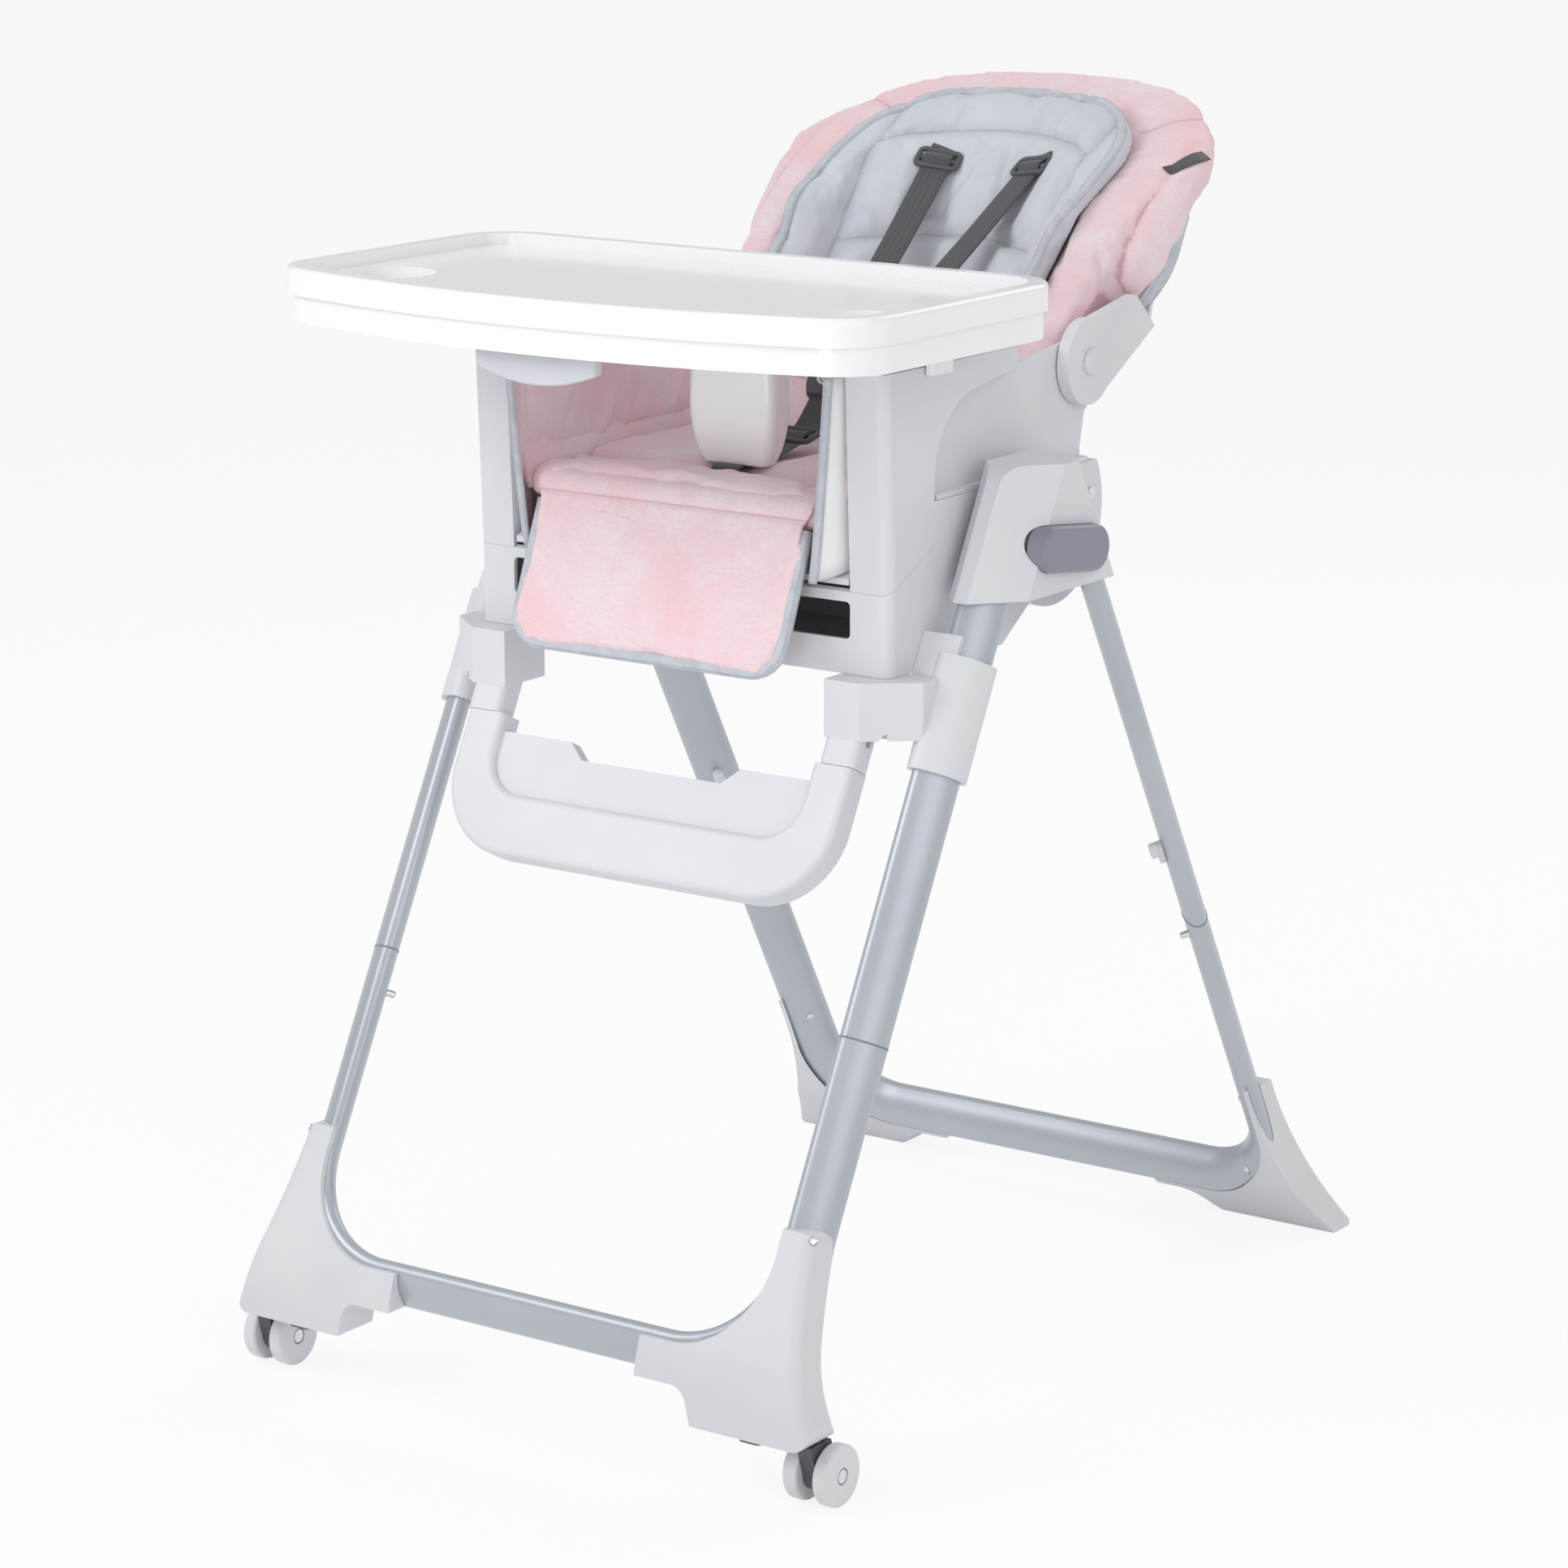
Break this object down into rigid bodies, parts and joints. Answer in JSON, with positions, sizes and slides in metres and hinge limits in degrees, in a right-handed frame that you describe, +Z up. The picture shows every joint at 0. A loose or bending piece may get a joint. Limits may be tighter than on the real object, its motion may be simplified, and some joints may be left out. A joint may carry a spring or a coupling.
{
  "type": "baby high chair",
  "caption": "Folding high chair on oval-tube legs with castors, sliding padded seat, reclining back, lift-off tray, footrest and harness.",
  "frame": {"origin": "floor level under the centre of the bounding box", "axes": "+Z up, front of the chair (tray and castors) towards -Y, +X to the right when looking along +Y"},
  "size_m": [0.591, 0.865, 1.0344],
  "materials": {
    "frame_silver": "satin silver-grey powder coat",
    "chrome_pin": "bright",
    "grey_plastic": "fine-textured light grey",
    "dark_plastic": "matte dark grey",
    "wheel_grey": "satin light grey",
    "white_gloss": "glossy white",
    "lever_grey": "satin grey",
    "pink_fabric": "woven, heathered pale pink",
    "grey_fabric": "soft light grey knit",
    "dark_webbing": "dark grey webbing"
  },
  "bodies": {
    "front_frame": {"front_base_tube": "frame_silver", "front_leg_left": "frame_silver", "front_leg_right": "frame_silver", "front_foot_left": "grey_plastic", "front_foot_right": "grey_plastic", "hub_housing_left": "grey_plastic", "hub_housing_right": "grey_plastic", "hub_covers": "grey_plastic", "fold_pivot_pins": "chrome_pin", "foot_stops": "dark_plastic"},
    "rear_frame": {"rear_base_tube": "frame_silver", "rear_leg_left": "frame_silver", "rear_leg_right": "frame_silver", "rear_foot_left": "grey_plastic", "rear_foot_right": "grey_plastic", "rear_leg_lugs": "grey_plastic", "tray_pegs": "grey_plastic"},
    "seat": {"carriage_left": "grey_plastic", "carriage_right": "grey_plastic", "seat_base": "grey_plastic", "seat_bucket": "grey_plastic", "arm_left": "grey_plastic", "arm_right": "grey_plastic", "seat_cushion": "pink_fabric", "side_pads": "pink_fabric", "leg_flap": "pink_fabric", "crotch_strap": "dark_webbing", "buckle": "dark_plastic", "strap_adjuster": "dark_plastic", "back_pivot_pins": "grey_plastic"},
    "footrest": {"footrest": "grey_plastic"},
    "back": {"back_pad": "pink_fabric", "back_insert": "grey_fabric", "back_shell": "grey_plastic", "shoulder_straps": "dark_webbing", "strap_slides": "dark_plastic"},
    "recline_handle": {"recline_handle": "dark_plastic"},
    "tray": {"tray_base": "white_gloss", "crotch_post": "white_gloss"},
    "tray_insert": {"tray_insert": "white_gloss"},
    "tray_lever": {"tray_lever": "lever_grey"},
    "buckle_button": {"buckle_button": "lever_grey"},
    "castor_left": {"castor_fork_left": "dark_plastic", "castor_bolt_left": "chrome_pin"},
    "castor_wheels_left": {"castor_wheels_left": "wheel_grey"},
    "fold_button_left": {"fold_button_left": "dark_plastic"},
    "front_snap_pin_left": {"front_snap_pin_left": "chrome_pin"},
    "rear_snap_pin_left": {"rear_snap_pin_left": "chrome_pin"},
    "footrest_button_left": {"footrest_button_left": "dark_plastic"},
    "tray_latch_left": {"tray_latch_left": "white_gloss"},
    "castor_right": {"castor_fork_right": "dark_plastic", "castor_bolt_right": "chrome_pin"},
    "castor_wheels_right": {"castor_wheels_right": "wheel_grey"},
    "fold_button_right": {"fold_button_right": "dark_plastic"},
    "front_snap_pin_right": {"front_snap_pin_right": "chrome_pin"},
    "rear_snap_pin_right": {"rear_snap_pin_right": "chrome_pin"},
    "footrest_button_right": {"footrest_button_right": "dark_plastic"},
    "tray_latch_right": {"tray_latch_right": "white_gloss"}
  },
  "joints": [
    {"name": "fold_hinge", "type": "hinge", "parent": "front_frame", "child": "rear_frame", "pos_m": [0, 0.00224, 0.736], "axis": [-1, 0, 0], "range_deg": [0, 48]},
    {"name": "seat_height", "type": "slide", "parent": "front_frame", "child": "seat", "axis": [0, 0.4602, 0.8878], "range_m": [-0.19, 0]},
    {"name": "footrest_slide", "type": "slide", "parent": "seat", "child": "footrest", "axis": [0, 0.4602, 0.8878], "range_m": [-0.025, 0]},
    {"name": "back_recline", "type": "hinge", "parent": "seat", "child": "back", "pos_m": [0, 0.096, 0.826], "axis": [1, 0, 0], "range_deg": [-4, 28]},
    {"name": "recline_handle_hinge", "type": "hinge", "parent": "back", "child": "recline_handle", "pos_m": [0, 0.32693, 0.93497], "axis": [1, 0, 0], "range_deg": [0, 14], "stiffness_Nm_per_rad": 1},
    {"name": "tray_depth", "type": "slide", "parent": "seat", "child": "tray", "axis": [0, 1, 0], "range_m": [-0.03, 0.012]},
    {"name": "tray_insert_lift", "type": "slide", "parent": "tray", "child": "tray_insert", "axis": [0, 0, 1], "range_m": [0, 0.06]},
    {"name": "tray_lever_pull", "type": "slide", "parent": "tray", "child": "tray_lever", "axis": [0, -1, 0], "range_m": [0, 0.008], "stiffness_N_per_m": 400},
    {"name": "buckle_press", "type": "slide", "parent": "seat", "child": "buckle_button", "axis": [0, 0.6644, -0.7474], "range_m": [0, 0.0018], "stiffness_N_per_m": 300},
    {"name": "castor_swivel_left", "type": "hinge", "parent": "front_frame", "child": "castor_left", "pos_m": [-0.275, -0.402, 0.05], "axis": [0, 0, 1], "continuous": true},
    {"name": "castor_roll_left", "type": "hinge", "parent": "castor_left", "child": "castor_wheels_left", "pos_m": [-0.275, -0.392, 0.025], "axis": [1, 0, 0], "continuous": true},
    {"name": "fold_button_press_left", "type": "slide", "parent": "front_frame", "child": "fold_button_left", "axis": [1, 0, 0], "range_m": [0, 0.0035], "stiffness_N_per_m": 400},
    {"name": "front_snap_press_left", "type": "slide", "parent": "front_frame", "child": "front_snap_pin_left", "axis": [-0.7071, -0.6278, 0.3254], "range_m": [0, 0.005], "stiffness_N_per_m": 300},
    {"name": "rear_snap_press_left", "type": "slide", "parent": "rear_frame", "child": "rear_snap_pin_left", "axis": [-0.7071, 0.6179, 0.3439], "range_m": [0, 0.005], "stiffness_N_per_m": 300},
    {"name": "footrest_release_left", "type": "slide", "parent": "seat", "child": "footrest_button_left", "axis": [1, 0, 0], "range_m": [0, 0.003], "stiffness_N_per_m": 300},
    {"name": "tray_latch_left", "type": "slide", "parent": "tray", "child": "tray_latch_left", "axis": [-1, 0, 0], "range_m": [0, 0.005]},
    {"name": "castor_swivel_right", "type": "hinge", "parent": "front_frame", "child": "castor_right", "pos_m": [0.275, -0.402, 0.05], "axis": [0, 0, 1], "continuous": true},
    {"name": "castor_roll_right", "type": "hinge", "parent": "castor_right", "child": "castor_wheels_right", "pos_m": [0.275, -0.392, 0.025], "axis": [1, 0, 0], "continuous": true},
    {"name": "fold_button_press_right", "type": "slide", "parent": "front_frame", "child": "fold_button_right", "axis": [-1, 0, 0], "range_m": [0, 0.0035], "stiffness_N_per_m": 400},
    {"name": "front_snap_press_right", "type": "slide", "parent": "front_frame", "child": "front_snap_pin_right", "axis": [0.7071, -0.6278, 0.3254], "range_m": [0, 0.005], "stiffness_N_per_m": 300},
    {"name": "rear_snap_press_right", "type": "slide", "parent": "rear_frame", "child": "rear_snap_pin_right", "axis": [0.7071, 0.6179, 0.3439], "range_m": [0, 0.005], "stiffness_N_per_m": 300},
    {"name": "footrest_release_right", "type": "slide", "parent": "seat", "child": "footrest_button_right", "axis": [-1, 0, 0], "range_m": [0, 0.003], "stiffness_N_per_m": 300},
    {"name": "tray_latch_right", "type": "slide", "parent": "tray", "child": "tray_latch_right", "axis": [1, 0, 0], "range_m": [0, 0.005]}
  ],
  "couplings": [
    {"joint": "tray_latch_left", "follows": "tray_lever_pull", "ratio": 0.625},
    {"joint": "tray_latch_right", "follows": "tray_lever_pull", "ratio": 0.625}
  ]
}
